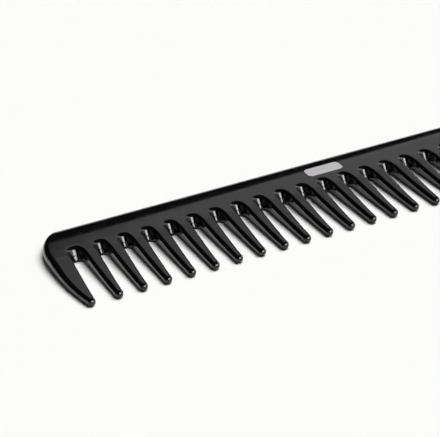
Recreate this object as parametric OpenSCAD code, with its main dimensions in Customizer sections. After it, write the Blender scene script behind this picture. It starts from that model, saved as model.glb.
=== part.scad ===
// Wide-tooth comb, moulded in black plastic, with a foil mark pressed into the spine.
// It lies flat: +X runs along the comb, the teeth point to -Y and the spine's back faces +Y.
// The real comb is one moulding. Its regions are separate solids here, meeting face to face
// where the teeth leave the spine.

/* [Comb] */
// Distance between the centres of neighbouring teeth
tooth_pitch = 7.05; // [6:0.05:9]
// Number of teeth between the two guard teeth
inner_teeth = 23; // [9:2:31]
// Depth from the tooth tips to the back of the spine
comb_depth = 37.8; // [36:0.2:44]
// Thickness of the spine and of the tooth roots
thickness = 4; // [3.6:0.1:5]

/* [Spine] */
// Depth of the spine behind the gap roots, on its upper face
spine_depth = 12; // [11:0.2:13]
// How far in from the back the spine starts to thin
crown_depth = 8; // [6:0.2:9]
// Thinness of the crown: 2 is an ellipse and more is squarer
crown_power = 2; // [1.8:0.1:3]
// Length along X of each end's rounded back corner
corner_len = 9.4; // [6:0.1:12]
// Depth along Y of each end's rounded back corner
corner_depth = 13.4; // [12:0.2:14.4]

/* [Teeth] */
// Radius of the rounded tooth tips
tip_r = 1.2; // [0.9:0.05:1.3]
// Radius of the gap roots on the flat faces, with the rounded edge
root_r = 2.55; // [2.4:0.05:2.7]
// How far a gap root slants back from the underside to the upper face
root_slant = 2.3; // [1.5:0.1:2.6]
// Draft: how much each wall leans in from the parting line to the face
draft = 0.1; // [0.05:0.05:0.3]
// Radius of the rounded edge between a wall and the face
shoulder = 0.85; // [0.5:0.05:0.9]
// Taper of the teeth's thickness: 1 is straight and more thins them nearer the root
taper_power = 1.6; // [1:0.1:2.4]

/* [Guard teeth] */
// How far a guard tooth stands out past its tooth centre line, at its widest
guard_over = 4.1; // [3.6:0.1:5]
// Extra width of the gap next to each guard tooth
end_gap_extra = 0.8; // [0:0.1:1.4]
// Bow of the outer edge: 1 is straight and more is fuller
guard_bow = 2.3; // [1.2:0.1:3]
// Radius of the rounded edge along the comb's ends
end_round = 1.7; // [1:0.1:2]

/* [Foil mark] */
// Length of the foil mark
foil_len = 11.6; // [8:0.2:16]
// Width of the foil mark
foil_wid = 4.6; // [3:0.1:5]
// Thickness of the foil and of the primer under it
foil_t = 0.12; // [0.12:0.01:0.2]
// How far the foil stands above the face
foil_proud = 0.02; // [0.01:0.01:0.04]

/* [Hidden] */
back_y = comb_depth / 2;
tip_y = -comb_depth / 2;
mid_z = thickness / 2;
// Line where the teeth meet the spine, through the gap roots' centres on the underside
root_y = back_y - spine_depth - root_slant - root_r;
// Radius of a gap root at the parting line
parting_r = root_r - draft - shoulder;
// Half-width of a tooth at its root, at the parting line
root_hw = tooth_pitch / 2 - parting_r;
// X of the guard teeth's centre lines
guard_x = (inner_teeth + 1) / 2 * tooth_pitch + end_gap_extra;
// X of the comb's ends
end_x = guard_x + guard_over;
// Y at which the straight end gives way to the rounded corner
corner_y = back_y - corner_depth;
// Y of the tips' ball centres
ball_y = tip_y + tip_r;
// The foil mark lies a little nearer to the gap roots than to the back
foil_y = back_y - spine_depth * 0.68;
// Size of the small flat at the very tip of a tooth, against its radius
tip_flat = 0.15;
// Sections that round each tip, and that run from the tip to the root
tip_rings = 4;
blade_rings = 6;
// Angle between the facets of a rounded edge
round_step = 45;
// How far a cutting or bounding body runs past the solid
over = 1;

function tooth_name(k) = str("tooth_", k < 10 ? "0" : "", k);

// How far y is from the tips' ball centres to the tooth roots, from 0 to 1
function share(y) = min(1, max(0, (y - ball_y) / (root_y - ball_y)));

// Half-thickness of a blade: full at the root and down to the tip's radius
function blade_h(y) = tip_r + (mid_z - tip_r) * pow(share(y), taper_power);

// Half-width of an inner tooth at the parting line: it widens evenly and eases off at the root
function inner_hw(y) =
    let (t = share(y))
    tip_r + (root_hw - tip_r) * (8 * t - pow(t, 8)) / 7;

// Reach of the comb's end past the guard tooth's centre line, before the rounded corner
function end_reach(y) =
    let (t = min(1, max(0, (y - ball_y) / (corner_y - ball_y))))
    tip_r + (guard_over - tip_r) * (1 - pow(1 - t, guard_bow));

// One corner of a section, from the wall at x = 0 to the face at z = h: [inset, height]
function rounded_edge(round, h) =
    let (r = min(round, 0.8 * h), lean = draft * h / mid_z)
    [
        for (a = [0:round_step:90])
            [lean * (h - r * (1 - sin(a))) / h + r * (1 - cos(a)), h - r * (1 - sin(a))]
    ];

// One blade section in X and Z, from left_x to right_x, lying on the rest face.
// Its walls are drafted and its edges rounded, the outer one with outer_round.
// It shrinks towards its middle as ease goes from 1 to 0, to round the tip.
function section(left_x, right_x, outer_round, h, y, ease) =
    let (
        mid = (left_x + right_x) / 2,
        hw = (right_x - left_x) / 2,
        outer = rounded_edge(min(outer_round, 0.7 * hw), h),
        inner = rounded_edge(min(shoulder, 0.7 * hw), h),
        n = len(inner) - 1,
        outline = concat(
            [[hw, 0]],
            [for (p = inner) [hw - p[0], p[1]]],
            [for (i = [n:-1:0]) [outer[i][0] - hw, outer[i][1]]],
            [[-hw, 0]],
            [for (p = outer) [p[0] - hw, -p[1]]],
            [for (i = [n:-1:0]) [hw - inner[i][0], -inner[i][1]]]
        )
    )
    [for (p = outline) [mid + p[0] * ease, y, h + p[1] * ease]];

// A closed skin over a list of sections that all have the same number of points
module loft(rings) {
    n = len(rings[0]);
    last = len(rings) - 1;
    sides = [
        for (i = [0:last - 1], j = [0:n - 1])
            let (a = i * n + j, b = i * n + (j + 1) % n)
            [a, a + n, b + n, b]
    ];
    tip_cap = [[for (j = [0:n - 1]) j]];
    root_cap = [[for (j = [n - 1:-1:0]) last * n + j]];
    polyhedron([for (r = rings, p = r) p], concat(tip_cap, sides, root_cap), convexity = 4);
}

// An inner tooth on its own centre line
module inner_tooth() {
    tip = [
        for (i = [0:tip_rings])
            let (a = 90 * i / tip_rings, y = ball_y - tip_r * cos(a))
            section(-tip_r, tip_r, shoulder, tip_r, y, max(tip_flat, sin(a)))
    ];
    blade = [
        for (i = [1:blade_rings])
            let (y = ball_y + (root_y - ball_y) * i / blade_rings)
            section(-inner_hw(y), inner_hw(y), shoulder, blade_h(y), y, 1)
    ];
    color("#161618") loft(concat(tip, blade));
}

// The guard tooth at the left end, on its own centre line, with the end's outer edge
module guard_tooth() {
    tip = [
        for (i = [0:tip_rings])
            let (a = 90 * i / tip_rings, y = ball_y - tip_r * cos(a))
            section(-tip_r, tip_r, end_round, tip_r, y, max(tip_flat, sin(a)))
    ];
    blade = [
        for (i = [1:blade_rings])
            let (y = ball_y + (root_y - ball_y) * i / blade_rings)
            section(-end_reach(y), inner_hw(y), end_round, blade_h(y), y, 1)
    ];
    color("#161618") loft(concat(tip, blade));
}

module guard_tooth_left() {
    translate([-guard_x, 0, 0]) guard_tooth();
}

module guard_tooth_right() {
    mirror([1, 0, 0]) guard_tooth_left();
}

// The spine from above: an elliptical corner at each end, and run on below the tooth roots
module spine_plan() {
    corner = [
        for (a = [0:7.5:90])
            [end_x - corner_len * (1 - cos(a)), corner_y + corner_depth * sin(a)]
    ];
    edge = [
        for (y = [root_y - 2 * end_round, root_y, (root_y + corner_y) / 2])
            [guard_x + end_reach(y), y]
    ];
    right = concat(edge, corner);
    left = [for (i = [len(right) - 1:-1:0]) [-right[i][0], right[i][1]]];
    polygon(concat(right, left));
}

// The spine's blank, with the rounded edge of the comb's ends all round its plan
module spine_blank() {
    layer = 0.01;
    hull()
        for (side = [-1, 1], p = concat([[0, 0]], rounded_edge(end_round, mid_z - layer / 2)))
            translate([0, 0, mid_z + side * p[1] - layer / 2])
                linear_extrude(layer) offset(delta = -p[0]) spine_plan();
}

// The spine from its end: flat faces that thin to a crowned back
module spine_profile() {
    crown = [
        for (t = [1, 0.99, 0.96, 0.9, 0.8, 0.65, 0.48, 0.3, 0.1])
            [back_y - crown_depth * (1 - t), mid_z * pow(1 - pow(t, crown_power), 1 / crown_power)]
    ];
    top = concat(crown, [[root_y, mid_z]]);
    under = [for (i = [len(top) - 1:-1:1]) [top[i][0], -top[i][1]]];
    translate([0, mid_z]) polygon(concat(top, under));
}

// The round root of one gap, with rounded edges, slanting back towards the upper face
module gap_root(stretch) {
    edge = rounded_edge(shoulder, mid_z);
    n = len(edge) - 1;
    rim = parting_r + edge[n][0];
    profile = concat(
        [[0, -over], [rim, -over]],
        [for (i = [n:-1:0]) [parting_r + edge[i][0], mid_z - edge[i][1]]],
        [[parting_r, mid_z]],
        [for (p = edge) [parting_r + p[0], mid_z + p[1]]],
        [[rim, thickness + over], [0, thickness + over]]
    );
    slant = [[1, 0, 0, 0], [0, 1, root_slant / thickness, 0], [0, 0, 1, 0], [0, 0, 0, 1]];
    translate([0, root_y, 0])
        multmatrix(slant)
            scale([stretch, 1, 1]) {
                rotate_extrude($fn = 36) polygon(profile);
                rotate([90, 0, 0])
                    linear_extrude(root_slant + over)
                        for (side = [0, 1]) mirror([side, 0]) polygon(profile);
            }
}

module spine() {
    color("#161618")
        difference() {
            intersection() {
                spine_blank();
                translate([-end_x - over, 0, 0])
                    rotate([90, 0, 90])
                        linear_extrude(2 * (end_x + over)) spine_profile();
            }
            for (i = [1:inner_teeth - 1])
                translate([(i - inner_teeth / 2) * tooth_pitch, 0, 0]) gap_root(1);
            for (side = [-1, 1])
                translate([side * (inner_teeth * tooth_pitch + end_gap_extra) / 2, 0, 0])
                    gap_root(1 + end_gap_extra / 2 / parting_r);
            translate([0, 0, thickness + foil_proud - foil_t]) foil_slug(foil_t + over);
        }
}

// A bar with round ends, the size of the foil mark
module foil_slug(height) {
    end_r = foil_wid / 2;
    translate([0, foil_y, 0])
        linear_extrude(height)
            union() {
                square([foil_len - foil_wid, foil_wid], center = true);
                for (side = [-1, 1])
                    translate([side * (foil_len / 2 - end_r), 0]) circle(end_r, $fn = 48);
            }
}

module foil_mark() {
    color("#b9b5b8")
        translate([0, 0, thickness + foil_proud - foil_t]) foil_slug(foil_t);
}

spine();
guard_tooth_left();
guard_tooth_right();
for (k = [1:inner_teeth])
    translate([(k - (inner_teeth + 1) / 2) * tooth_pitch, 0, 0]) inner_tooth();
foil_mark();
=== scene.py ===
import math

import bmesh
import bpy
from mathutils import Matrix, Vector


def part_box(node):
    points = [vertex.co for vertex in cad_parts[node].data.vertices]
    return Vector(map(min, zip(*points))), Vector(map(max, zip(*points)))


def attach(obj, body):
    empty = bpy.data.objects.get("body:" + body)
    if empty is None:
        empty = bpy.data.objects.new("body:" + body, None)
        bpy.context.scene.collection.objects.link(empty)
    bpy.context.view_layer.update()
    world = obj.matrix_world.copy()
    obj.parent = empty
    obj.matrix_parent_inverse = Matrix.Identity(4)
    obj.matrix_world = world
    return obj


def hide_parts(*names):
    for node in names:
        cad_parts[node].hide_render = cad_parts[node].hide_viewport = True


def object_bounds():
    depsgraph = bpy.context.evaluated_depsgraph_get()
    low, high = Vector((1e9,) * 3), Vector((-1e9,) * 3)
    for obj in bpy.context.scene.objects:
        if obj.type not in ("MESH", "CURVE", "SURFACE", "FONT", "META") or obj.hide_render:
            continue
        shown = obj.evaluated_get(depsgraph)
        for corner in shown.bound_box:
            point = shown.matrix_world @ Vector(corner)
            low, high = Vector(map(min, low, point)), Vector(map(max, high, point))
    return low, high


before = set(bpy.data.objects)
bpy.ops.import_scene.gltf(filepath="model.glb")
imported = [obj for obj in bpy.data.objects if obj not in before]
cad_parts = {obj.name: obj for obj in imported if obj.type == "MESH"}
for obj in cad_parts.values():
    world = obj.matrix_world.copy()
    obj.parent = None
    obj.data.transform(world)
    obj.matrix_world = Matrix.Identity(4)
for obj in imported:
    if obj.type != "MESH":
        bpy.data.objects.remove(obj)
cad_low, cad_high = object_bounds()

MM = 0.001

# The comb's sizes, from the frame.
SPINE_LOW, SPINE_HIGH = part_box("spine")
FIRST_LOW, FIRST_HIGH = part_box("tooth_01")
SECOND_LOW, SECOND_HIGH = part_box("tooth_02")
GUARD_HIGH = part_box("guard_tooth_left")[1]
INNER_TEETH = sum(name.startswith("tooth_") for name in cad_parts)
PITCH = (SECOND_LOW.x + SECOND_HIGH.x - FIRST_LOW.x - FIRST_HIGH.x) / 2
HALF_THICK = (SPINE_HIGH.z - SPINE_LOW.z) / 2
END_X, BACK_Y, ROOT_Y = SPINE_HIGH.x, SPINE_HIGH.y, SPINE_LOW.y
TIP_Y = FIRST_LOW.y
ROOT_HALF = (FIRST_HIGH.x - FIRST_LOW.x) / 2
GUARD_X = ROOT_HALF - GUARD_HIGH.x
GAP_R = PITCH / 2 - ROOT_HALF

# The teeth: a ball at the tip, then wider and thicker towards the root by these powers.
TIP_R = 1.2 * MM
BALL_Y = TIP_Y + TIP_R
ROOT_EASE = 8
TAPER_POWER = 1.6

# Edges: the walls lean in by the draft, and the shoulders are rounder towards the tips.
DRAFT = 0.1 * MM
SHOULDER = 0.85 * MM
TIP_ROUNDING = 0.4
END_ROUND = 1.7 * MM
ROUNDING_LIMIT = 0.92
LEAN_LIMIT = 0.3
SEAM_OUT = 0.04 * MM
SEAM_HALF = 0.07 * MM

# The gap roots, which slant back as they rise, and the spine round them.
ROOT_SLANT = 2.3 * MM
CELL_DEPTH = 6.6 * MM

# The ends: a bowed side up to the corner, which is a quarter of an ellipse.
GUARD_OVER = END_X - GUARD_X
GUARD_BOW = 2.3
CORNER_LEN = 9.4 * MM
CORNER_DEPTH = 13.4 * MM
CORNER_Y = BACK_Y - CORNER_DEPTH

# The crown, over which the spine thins to its back.
CROWN_DEPTH = 8.0 * MM
CROWN_POWER = 2.0
JUST_INSIDE = 0.999

# The foil: its corners as a share of its width, and the ease of its edge.
FOIL_CORNER = 0.3
FOIL_EDGE_IN = 0.012 * MM
FOIL_EDGE_DROP = 0.008 * MM

# Fineness of the meshes.
WALL_STEPS = 3
SHOULDER_STEPS = 8
FLAT_STEPS = 3
GAP_SIDE_STEPS = 8
TIP_STEPS = 10
BLADE_STEPS = 26
CROWN_STEPS = 26
FOIL_CORNER_STEPS = 12
# An edge's rings run from 0 at the parting line, past the seam, to the last one at the flat.
LAST_RING = 1 + WALL_STEPS + SHOULDER_STEPS

# Less half-height than this, in metres, is an edge with no wall. Closer points are one point.
NO_HEIGHT = 1e-7
KEYS_PER_METRE = 1e7

# The panels stand this far from the comb, and the floor reaches this far from it, in metres.
PANEL_DISTANCE = 2.0
FLOOR_REACH = 3.0


def tooth_x(index):
    """X of a tooth's centre line; the guard teeth come first and last."""
    if index == 0:
        return -GUARD_X
    if index > INNER_TEETH:
        return GUARD_X
    return (index - (INNER_TEETH + 1) / 2) * PITCH


def blade_share(y):
    """How far y is from the tips' ball centres to the tooth roots, from 0 to 1."""
    return min(1.0, max(0.0, (y - BALL_Y) / (ROOT_Y - BALL_Y)))


def blade_height(y):
    """Half-thickness of a tooth."""
    return TIP_R + (HALF_THICK - TIP_R) * blade_share(y) ** TAPER_POWER


def middle_z(y):
    """Height of the parting line: the underside is flat, so it drops towards the tips."""
    return SPINE_LOW.z + (blade_height(y) if y < ROOT_Y else HALF_THICK)


def widening(y):
    """Share of a tooth's extra width, which runs straight and eases off at the root."""
    t = blade_share(y)
    return (ROOT_EASE * t - t ** ROOT_EASE) / (ROOT_EASE - 1)


def tooth_half(y):
    """Half-width of an inner tooth at the parting line."""
    return TIP_R + (ROOT_HALF - TIP_R) * widening(y)


def end_reach(y):
    """Reach of the comb's end past the guard tooth's centre line."""
    if y > CORNER_Y:
        up = min(1.0, (y - CORNER_Y) / CORNER_DEPTH)
        return GUARD_OVER - CORNER_LEN * (1 - math.sqrt(max(0.0, 1 - up * up)))
    t = max(0.0, (y - BALL_Y) / (CORNER_Y - BALL_Y))
    return TIP_R + (GUARD_OVER - TIP_R) * (1 - (1 - t) ** GUARD_BOW)


def edge_rings(half_width, half_height, rounding):
    """(inset, height) of each ring, from the parting line up the wall and over the shoulder."""
    if half_height < NO_HEIGHT:
        return [(0.0, 0.0)] * (LAST_RING + 1)
    size = half_height / HALF_THICK
    seam_out, seam_half = SEAM_OUT * min(1, size), SEAM_HALF * size
    lean = min(DRAFT, LEAN_LIMIT * half_width) * size
    tilt = math.atan2(lean, half_height)
    room = min(half_height, half_width - lean - seam_out)
    radius = min(rounding, ROUNDING_LIMIT * room)
    centre_z = half_height - radius
    centre_in = seam_out + lean * centre_z / half_height + radius / math.cos(tilt)
    rings = [(0.0, 0.0), (seam_out + lean * seam_half / half_height, seam_half)]
    wall_top = centre_z + radius * math.sin(tilt)
    for i in range(1, WALL_STEPS + 1):
        z = seam_half + (wall_top - seam_half) * i / WALL_STEPS
        rings.append((seam_out + lean * z / half_height, z))
    for i in range(1, SHOULDER_STEPS + 1):
        a = tilt + (math.pi / 2 - tilt) * i / SHOULDER_STEPS
        rings.append((centre_in - radius * math.cos(a), centre_z + radius * math.sin(a)))
    return rings


def blade_section(left, right, outer_round, height, y, ease):
    """Points over a tooth's top from its left parting line to its right one."""
    half = (right - left) / 2
    rounder = 1 + TIP_ROUNDING * (1 - blade_share(y))
    outer = edge_rings(half, height, outer_round * rounder)
    inner = edge_rings(half, height, SHOULDER * rounder)
    points = [(left + inset, z) for inset, z in outer]
    flat_left, flat_right, top = points[-1][0], right - inner[-1][0], inner[-1][1]
    points += [(flat_left * (1 - i / FLAT_STEPS), top) for i in range(1, FLAT_STEPS + 1)]
    points += [(flat_right * i / FLAT_STEPS, top) for i in range(1, FLAT_STEPS)]
    points += [(right - inset, z) for inset, z in reversed(inner)]
    centre = (left + right) / 2
    return [Vector((centre + (x - centre) * ease, y, z * ease)) for x, z in points]


def strip(quads, lower, upper):
    """Adds the quads between two rows that have the same number of points."""
    for i in range(len(lower) - 1):
        quads.append((lower[i], lower[i + 1], upper[i + 1], upper[i]))


def blade(centre_x, reach, outer_round, mirrored=False):
    """Upper skin of one tooth, and the section at its root. Its outer side reaches out by reach(y)."""
    rows = []
    for i in range(1, TIP_STEPS):
        a = math.pi / 2 * i / TIP_STEPS
        y = BALL_Y - TIP_R * math.cos(a)
        rows.append(blade_section(-TIP_R, TIP_R, outer_round, TIP_R, y, math.sin(a)))
    for i in range(BLADE_STEPS + 1):
        y = BALL_Y + (ROOT_Y - BALL_Y) * i / BLADE_STEPS
        rows.append(blade_section(-reach(y), tooth_half(y), outer_round, blade_height(y), y, 1.0))
    rows.insert(0, [Vector((0, TIP_Y, 0))] * len(rows[0]))
    side = -1 if mirrored else 1
    rows = [[Vector((centre_x + side * p.x, p.y, p.z)) for p in row] for row in rows]
    quads = []
    for lower, upper in zip(rows, rows[1:]):
        strip(quads, lower, upper)
    return quads, rows[-1]


def gap_cell(quads, left, right, side):
    """The spine round one gap root: rings about the root, then out to the cell's straight sides.

    Side is 1 for the upper skin and -1 for the under one: the root slants back as it rises.
    """
    centre_x, half = (left + right) / 2, (right - left) / 2
    steps = 4 * GAP_SIDE_STEPS
    border = []
    for i in range(steps + 1):
        if i <= GAP_SIDE_STEPS:
            border.append((half, CELL_DEPTH * i / GAP_SIDE_STEPS))
        elif i <= 3 * GAP_SIDE_STEPS:
            border.append((half - half * (i - GAP_SIDE_STEPS) / GAP_SIDE_STEPS, CELL_DEPTH))
        else:
            border.append((-half, CELL_DEPTH * (steps - i) / GAP_SIDE_STEPS))
    turns = [math.pi * i / steps for i in range(steps + 1)]
    rows = []
    for inset, z in edge_rings(half, HALF_THICK, SHOULDER):
        wide, deep = half - ROOT_HALF + inset, GAP_R + inset
        back = ROOT_SLANT * (1 + side * z / HALF_THICK) / 2
        rows.append([
            (wide * math.cos(a), deep * math.sin(a) + back * (1 - (1 - math.sin(a)) ** 2), z)
            for a in turns
        ])
    last = rows[-1]
    for j in range(1, FLAT_STEPS + 1):
        s = j / FLAT_STEPS
        rows.append([
            (a[0] + (b[0] - a[0]) * s, a[1] + (b[1] - a[1]) * s, a[2])
            for a, b in zip(last, border)
        ])
    placed = [[Vector((centre_x + x, ROOT_Y + y, z)) for x, y, z in row] for row in rows]
    for inner, outer in zip(placed, placed[1:]):
        strip(quads, inner, outer)


def end_columns(y, height):
    """X and Z of the points from the comb's right end in to the guard tooth's centre line."""
    edge = GUARD_X + end_reach(y)
    rings = edge_rings(GUARD_OVER, height, END_ROUND)
    points = [(edge - inset, z) for inset, z in rings]
    flat, top = points[-1]
    points += [(flat + (GUARD_X - flat) * i / FLAT_STEPS, top) for i in range(1, FLAT_STEPS + 1)]
    return points


def end_block(quads, side):
    """The spine outside a guard tooth's centre line, as deep as the gap cells."""
    rows = []
    for i in range(GAP_SIDE_STEPS + 1):
        y = ROOT_Y + CELL_DEPTH * i / GAP_SIDE_STEPS
        rows.append([Vector((side * x, y, z)) for x, z in end_columns(y, HALF_THICK)])
    for lower, upper in zip(rows, rows[1:]):
        strip(quads, lower, upper)


def crown_rows():
    """(y, half-thickness) of the rows from the top of the gap cells over the back."""
    cell_top = ROOT_Y + CELL_DEPTH
    crown_y = BACK_Y - CROWN_DEPTH
    flat_depth = crown_y - cell_top
    rows = [(cell_top + flat_depth * i / FLAT_STEPS, HALF_THICK) for i in range(FLAT_STEPS)]
    for i in range(CROWN_STEPS + 1):
        a = math.pi / 2 * i / CROWN_STEPS
        rise = max(0.0, math.cos(a)) ** (2 / CROWN_POWER)
        rows.append((crown_y + CROWN_DEPTH * math.sin(a) ** (2 / CROWN_POWER), HALF_THICK * rise))
    rows[-1] = (BACK_Y, 0.0)
    return rows


def spine_back(quads):
    """The spine behind the gap cells, from end to end, thinning over the crown to the back."""
    columns = []
    for gap in range(INNER_TEETH + 1):
        left, right = tooth_x(gap), tooth_x(gap + 1)
        for i in range(2 * GAP_SIDE_STEPS):
            columns.append(left + (right - left) * i / (2 * GAP_SIDE_STEPS))
    columns.append(GUARD_X)
    rows = []
    for y, height in crown_rows():
        right = end_columns(y, height)
        squeeze = min(1.0, right[LAST_RING][0] / GUARD_X * JUST_INSIDE) if y > CORNER_Y else 1.0
        end = [(x * (squeeze if j > LAST_RING else 1), z) for j, (x, z) in enumerate(right[:-1])]
        row = [Vector((-x, y, z)) for x, z in end]
        row += [Vector((x * squeeze, y, right[-1][1])) for x in columns]
        row += [Vector((x, y, z)) for x, z in reversed(end)]
        rows.append(row)
    for lower, upper in zip(rows, rows[1:]):
        strip(quads, lower, upper)


def spine_skin(side):
    """The whole upper skin of the spine for side 1, and its under skin turned over for -1."""
    quads = []
    for gap in range(INNER_TEETH + 1):
        gap_cell(quads, tooth_x(gap), tooth_x(gap + 1), side)
    end_block(quads, -1)
    end_block(quads, 1)
    spine_back(quads)
    return quads


def key_of(point):
    """The same key for points that are meant to be one."""
    return tuple(round(c * KEYS_PER_METRE) for c in point)


def region_mesh(name, upper, under, sections):
    """A closed mesh of one region: its upper skin, its under skin mirrored, and caps at its cuts."""
    points, faces, index = [], [], {}

    def corner(point):
        key = key_of(point)
        if key not in index:
            index[key] = len(points)
            points.append(Vector(point))
        return index[key]

    def add(corners):
        ids = []
        for c in corners:
            i = corner(c)
            if i not in ids:
                ids.append(i)
        if len(ids) > 2:
            faces.append(ids)

    def below(point):
        return Vector((point.x, point.y, -point.z))

    for quad in upper:
        add(quad)
    for quad in under:
        add([below(p) for p in reversed(quad)])
    skin = len(faces)
    for section in sections:
        for a, b in zip(section, section[1:]):
            add([a, b, below(b), below(a)])
    mesh = bpy.data.meshes.new(name)
    mesh.from_pydata([(p.x, p.y, p.z + middle_z(p.y)) for p in points], [], faces)
    work = bmesh.new()
    work.from_mesh(mesh)
    bmesh.ops.recalc_face_normals(work, faces=work.faces)
    work.to_mesh(mesh)
    work.free()
    mesh.update()
    return mesh, skin


def shared_normals(regions):
    """Normals of the whole moulding's skin, so that no joint between regions shows."""
    total = {}
    for mesh, skin in regions.values():
        for face in list(mesh.polygons)[:skin]:
            for v in face.vertices:
                key = key_of(mesh.vertices[v].co)
                total[key] = total.get(key, Vector()) + face.normal * face.area
    return {key: n.normalized() for key, n in total.items()}


def shade(mesh, skin, normals):
    """Smooth skin with the moulding's shared normals, and flat caps."""
    custom = []
    for face in mesh.polygons:
        face.use_smooth = True
        for v in face.vertices:
            own = face.normal.copy()
            custom.append(normals.get(key_of(mesh.vertices[v].co), own) if face.index < skin else own)
    mesh.normals_split_custom_set(custom)


def add_piece(name, mesh, node, material):
    """A visible piece that stands for a CAD node."""
    piece = bpy.data.objects.new(name, mesh)
    bpy.context.scene.collection.objects.link(piece)
    mesh.materials.append(material)
    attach(piece, "root")
    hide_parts(node)


def comb_pieces(material):
    """The moulding's regions, each standing for its own CAD node."""
    regions, roots = {}, []
    blades = {
        "guard_tooth_left": blade(-GUARD_X, end_reach, END_ROUND),
        "guard_tooth_right": blade(GUARD_X, end_reach, END_ROUND, mirrored=True),
    }
    for k in range(1, INNER_TEETH + 1):
        blades[f"tooth_{k:02d}"] = blade(tooth_x(k), tooth_half, SHOULDER)
    for node, (quads, root) in blades.items():
        regions[node] = region_mesh(node, quads, quads, [root])
        roots.append(root)
    regions["spine"] = region_mesh("spine", spine_skin(1), spine_skin(-1), roots)
    normals = shared_normals(regions)
    for node, (mesh, skin) in regions.items():
        shade(mesh, skin, normals)
        add_piece(f"moulded_{node}", mesh, node, material)


def foil_piece(material):
    """The foil mark: a thin bar with rounded corners and an eased edge."""
    low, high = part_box("foil_mark")
    centre = (low + high) / 2
    corner = FOIL_CORNER * (high.y - low.y)
    straight_x, straight_y = (high.x - low.x) / 2 - corner, (high.y - low.y) / 2 - corner
    walls = [(0.0, low.z), (0.0, high.z - FOIL_EDGE_DROP)]
    face = [(FOIL_EDGE_IN, high.z), (corner * 0.5, high.z)]
    rows = []
    for inset, z in walls + face:
        row = []
        for i in range(4 * FOIL_CORNER_STEPS):
            quarter, step = divmod(i, FOIL_CORNER_STEPS)
            a = math.pi / 2 * (quarter + step / (FOIL_CORNER_STEPS - 1))
            side_x = 1 if quarter in (0, 3) else -1
            side_y = 1 if quarter in (0, 1) else -1
            x = side_x * straight_x + (corner - inset) * math.cos(a)
            y = side_y * straight_y + (corner - inset) * math.sin(a)
            row.append((centre.x + x, centre.y + y, z))
        rows.append(row)
    points = [p for row in rows for p in row]
    n = len(rows[0])
    faces = [
        [j * n + i, j * n + (i + 1) % n, (j + 1) * n + (i + 1) % n, (j + 1) * n + i]
        for j in range(len(rows) - 1) for i in range(n)
    ]
    faces.append(list(range(n))[::-1])
    faces.append([(len(rows) - 1) * n + i for i in range(n)])
    mesh = bpy.data.meshes.new("foil")
    mesh.from_pydata(points, [], faces)
    add_piece("stamped_foil_mark", mesh, "foil_mark", material)


class Nodes:
    """Short calls for building a material's node tree."""

    def __init__(self, name):
        self.material = bpy.data.materials.new(name)
        self.material.use_nodes = True
        self.tree = self.material.node_tree
        self.shader = self.tree.nodes["Principled BSDF"]

    def add(self, kind, **inputs):
        node = self.tree.nodes.new(kind)
        for key, value in inputs.items():
            node.inputs[key.replace("_", " ")].default_value = value
        return node

    def link(self, source, target):
        self.tree.links.new(source, target)

    def ramp(self, source, low, high, low_value, high_value):
        node = self.add("ShaderNodeMapRange", From_Min=low, From_Max=high)
        node.inputs["To Min"].default_value = low_value
        node.inputs["To Max"].default_value = high_value
        self.link(source, node.inputs["Value"])
        return node.outputs["Result"]


def black_plastic():
    """Polished black moulded plastic: near-mirror gloss with a faint ripple and a slight patchy haze.
    """
    m = Nodes("polished_black_plastic")
    place = m.add("ShaderNodeTexCoord").outputs["Object"]
    m.shader.inputs["Base Color"].default_value = (0.0025, 0.0025, 0.0027, 1)
    m.shader.inputs["IOR"].default_value = 1.5
    haze = m.add("ShaderNodeTexNoise", Scale=180.0, Detail=4.0, Roughness=0.6)
    m.link(place, haze.inputs["Vector"])
    m.link(m.ramp(haze.outputs["Fac"], 0.35, 0.7, 0.10, 0.17), m.shader.inputs["Roughness"])
    ripple = m.add("ShaderNodeTexNoise", Scale=260.0, Detail=1.0)
    m.link(place, ripple.inputs["Vector"])
    bump = m.add("ShaderNodeBump", Strength=0.03, Distance=0.0003)
    m.link(ripple.outputs["Fac"], bump.inputs["Height"])
    m.link(bump.outputs["Normal"], m.shader.inputs["Normal"])
    return m.material


def silver_foil():
    """Hot-stamped silver foil: a satin metal film with a slight mottle."""
    m = Nodes("stamped_silver_foil")
    place = m.add("ShaderNodeTexCoord").outputs["Object"]
    m.shader.inputs["Base Color"].default_value = (0.62, 0.60, 0.62, 1)
    m.shader.inputs["Metallic"].default_value = 0.4
    mottle = m.add("ShaderNodeTexNoise", Scale=900.0, Detail=3.0)
    m.link(place, mottle.inputs["Vector"])
    m.link(m.ramp(mottle.outputs["Fac"], 0.3, 0.7, 0.38, 0.5), m.shader.inputs["Roughness"])
    return m.material


def tabletop():
    """Plain pale floor."""
    m = Nodes("pale_tabletop")
    m.shader.inputs["Base Color"].default_value = (0.9, 0.9, 0.89, 1)
    m.shader.inputs["Roughness"].default_value = 0.9
    m.shader.inputs["Specular IOR Level"].default_value = 0.0
    mesh = bpy.data.meshes.new("tabletop")
    corners = [(-1, -1), (1, -1), (1, 1), (-1, 1)]
    points = [(x * FLOOR_REACH, y * FLOOR_REACH, cad_low.z) for x, y in corners]
    mesh.from_pydata(points, [], [(0, 1, 2, 3)])
    floor = bpy.data.objects.new("tabletop", mesh)
    bpy.context.scene.collection.objects.link(floor)
    mesh.materials.append(m.material)


def direction(azimuth, elevation):
    """Unit vector out of the object. Azimuth 0 is +Y, behind the comb, and 90 is +X."""
    a, e = math.radians(azimuth), math.radians(elevation)
    return Vector((math.sin(a) * math.cos(e), math.cos(a) * math.cos(e), math.sin(e)))


def aim(lamp):
    """Turns a lamp to the comb's middle."""
    lamp.rotation_euler = (-lamp.location).to_track_quat("-Z", "Y").to_euler()


def add_light(name, kind):
    data = bpy.data.lights.new(name, kind)
    lamp = bpy.data.objects.new(name, data)
    bpy.context.scene.collection.objects.link(lamp)
    return data, lamp


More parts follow.
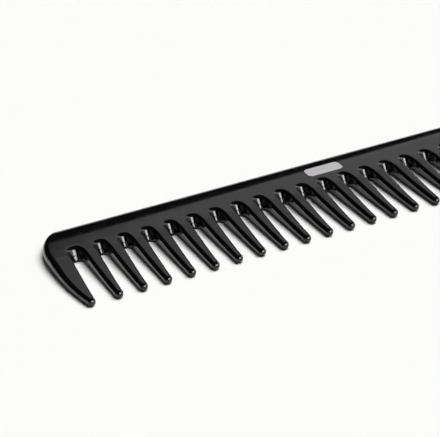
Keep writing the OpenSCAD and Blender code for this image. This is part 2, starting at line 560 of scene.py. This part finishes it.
def sun(name, azimuth, elevation, strength, spread):
    """Light on the floor and in the shadows, not seen in the gloss."""
    data, lamp = add_light(name, "SUN")
    data.energy, data.angle = strength, math.radians(spread)
    lamp.location = direction(azimuth, elevation)
    aim(lamp)
    lamp.visible_glossy = False


def reflected_panel(name, azimuth, elevation, roll, width, height, radiance):
    """A bright panel that the gloss reflects; width and height are seen angles in degrees."""
    data, lamp = add_light(name, "AREA")
    data.shape = "RECTANGLE"
    data.size = 2 * PANEL_DISTANCE * math.tan(math.radians(width / 2))
    data.size_y = 2 * PANEL_DISTANCE * math.tan(math.radians(height / 2))
    data.energy = radiance * math.pi * data.size * data.size_y
    lamp.location = direction(azimuth, elevation) * PANEL_DISTANCE
    aim(lamp)
    lamp.rotation_euler.rotate_axis("Z", math.radians(roll))
    lamp.visible_diffuse = False


def lights():
    """A dark room, a soft light from above, and the panels that show in the gloss."""
    world = bpy.data.worlds.new("studio")
    world.use_nodes = True
    world.node_tree.nodes["Background"].inputs["Color"].default_value = (0.004, 0.004, 0.004, 1)
    bpy.context.scene.world = world
    sun("overhead_key", 100, 68, 3.5, 45)
    sun("room_fill", 0, 90, 0.15, 150)
    reflected_panel("far_softbox", 30, 37.5, 40, 37, 26, 0.65)
    reflected_panel("side_window", 70, 16, 0, 44, 30, 1.2)
    reflected_panel("front_window", 132, 24, 0, 80, 44, 2.1)
    reflected_panel("front_lamp", 168, 30, 0, 30, 24, 12.0)


def camera():
    """Camera at the photograph's viewing angle."""
    aim_at = Vector((-40.5, -2.5, 5.5)) * MM
    azimuth, elevation, roll = (math.radians(x) for x in (-24.07, 30.32, -3.0))
    distance = 385.2 * MM
    back = Vector((
        math.sin(azimuth) * math.cos(elevation),
        -math.cos(azimuth) * math.cos(elevation),
        math.sin(elevation),
    ))
    level = (-back).cross(Vector((0, 0, 1))).normalized()
    right = math.cos(roll) * level + math.sin(roll) * level.cross(-back)
    up = back.cross(right)
    data = bpy.data.cameras.new("camera")
    data.lens = 112.5
    data.clip_start, data.clip_end = 0.01, 20
    eye = bpy.data.objects.new("camera", data)
    bpy.context.scene.collection.objects.link(eye)
    turn = Matrix((right, up, back)).transposed().to_4x4()
    eye.matrix_world = Matrix.Translation(aim_at + back * distance) @ turn
    bpy.context.scene.camera = eye


comb_pieces(black_plastic())
foil_piece(silver_foil())
tabletop()
lights()
camera()
bpy.context.scene.view_settings.view_transform = "Standard"
